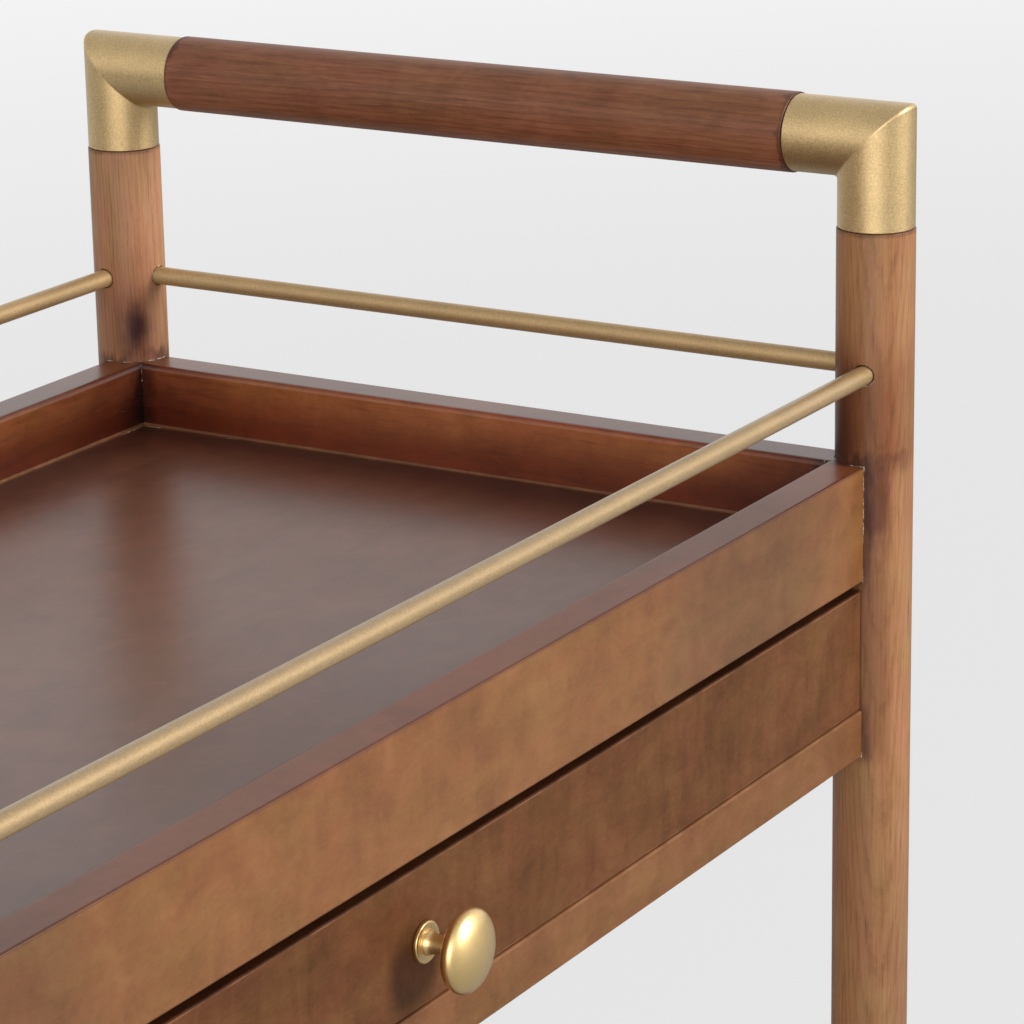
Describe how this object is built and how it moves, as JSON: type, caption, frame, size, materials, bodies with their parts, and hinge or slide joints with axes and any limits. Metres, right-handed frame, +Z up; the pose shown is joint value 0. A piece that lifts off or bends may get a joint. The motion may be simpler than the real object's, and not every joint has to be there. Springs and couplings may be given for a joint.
{
  "type": "serving cart",
  "caption": "Wooden serving cart with round posts, mitred end handles, a railed tray over a drawer, a lower shelf and swivel castors.",
  "frame": {"origin": "on the floor, under the middle of the cart's box", "axes": "+X along the cart, +Y from the drawer's face to the back, +Z up"},
  "size_m": [0.7406, 0.4144, 0.8203],
  "materials": {
    "walnut": "stained, satin lacquer",
    "tray_walnut": "stained, satin lacquer",
    "drawer_wood": "clear lacquer",
    "brass": "satin champagne gold",
    "steel": "zinc plated",
    "rubber": "matte"
  },
  "bodies": {
    "frame": {"post_front_left": "walnut", "post_front_right": "walnut", "post_back_left": "walnut", "post_back_right": "walnut", "elbow_front_left": "brass", "elbow_front_right": "brass", "elbow_back_left": "brass", "elbow_back_right": "brass", "handle_left": "walnut", "handle_right": "walnut", "gallery_rod_front": "brass", "gallery_rod_right": "brass", "gallery_rod_back": "brass", "gallery_rod_left": "brass", "apron_front": "walnut", "case_board_back": "walnut", "case_board_left": "walnut", "case_board_right": "walnut", "front_rail": "walnut", "tray_floor": "tray_walnut", "drawer_runner_left": "drawer_wood", "drawer_runner_right": "drawer_wood", "shelf_rail_front": "walnut", "shelf_rail_right": "walnut", "shelf_rail_back": "walnut", "shelf_rail_left": "walnut", "shelf_panel": "tray_walnut", "castor_socket_front_left": "brass", "castor_stem_front_left": "steel", "castor_socket_front_right": "brass", "castor_stem_front_right": "steel", "castor_socket_back_left": "brass", "castor_stem_back_left": "steel", "castor_socket_back_right": "brass", "castor_stem_back_right": "steel"},
    "drawer": {"drawer_front": "walnut", "drawer_side_left": "drawer_wood", "drawer_side_right": "drawer_wood", "drawer_back": "drawer_wood", "drawer_bottom": "drawer_wood", "drawer_knob": "brass", "knob_screw": "steel"},
    "castor_front_left": {"castor_fork_front_left": "brass", "castor_axle_front_left": "steel"},
    "wheel_front_left": {"castor_wheel_front_left": "brass", "castor_tyre_front_left": "rubber"},
    "castor_front_right": {"castor_fork_front_right": "brass", "castor_axle_front_right": "steel"},
    "wheel_front_right": {"castor_wheel_front_right": "brass", "castor_tyre_front_right": "rubber"},
    "castor_back_left": {"castor_fork_back_left": "brass", "castor_axle_back_left": "steel"},
    "wheel_back_left": {"castor_wheel_back_left": "brass", "castor_tyre_back_left": "rubber"},
    "castor_back_right": {"castor_fork_back_right": "brass", "castor_axle_back_right": "steel"},
    "wheel_back_right": {"castor_wheel_back_right": "brass", "castor_tyre_back_right": "rubber"}
  },
  "joints": [
    {"name": "drawer_slide", "type": "slide", "parent": "frame", "child": "drawer", "axis": [0, -1, 0], "range_m": [0, 0.24]},
    {"name": "castor_swivel_front_left", "type": "hinge", "parent": "frame", "child": "castor_front_left", "pos_m": [-0.354, -0.18025, 0.0575], "axis": [0, 0, 1], "continuous": true},
    {"name": "wheel_spin_front_left", "type": "hinge", "parent": "castor_front_left", "child": "wheel_front_left", "pos_m": [-0.334, -0.18025, 0.025], "axis": [0, 1, 0], "continuous": true},
    {"name": "castor_swivel_front_right", "type": "hinge", "parent": "frame", "child": "castor_front_right", "pos_m": [0.354, -0.18025, 0.0575], "axis": [0, 0, 1], "continuous": true},
    {"name": "wheel_spin_front_right", "type": "hinge", "parent": "castor_front_right", "child": "wheel_front_right", "pos_m": [0.334, -0.18025, 0.025], "axis": [0, 1, 0], "continuous": true},
    {"name": "castor_swivel_back_left", "type": "hinge", "parent": "frame", "child": "castor_back_left", "pos_m": [-0.354, 0.19075, 0.0575], "axis": [0, 0, 1], "continuous": true},
    {"name": "wheel_spin_back_left", "type": "hinge", "parent": "castor_back_left", "child": "wheel_back_left", "pos_m": [-0.334, 0.19075, 0.025], "axis": [0, 1, 0], "continuous": true},
    {"name": "castor_swivel_back_right", "type": "hinge", "parent": "frame", "child": "castor_back_right", "pos_m": [0.354, 0.19075, 0.0575], "axis": [0, 0, 1], "continuous": true},
    {"name": "wheel_spin_back_right", "type": "hinge", "parent": "castor_back_right", "child": "wheel_back_right", "pos_m": [0.334, 0.19075, 0.025], "axis": [0, 1, 0], "continuous": true}
  ]
}
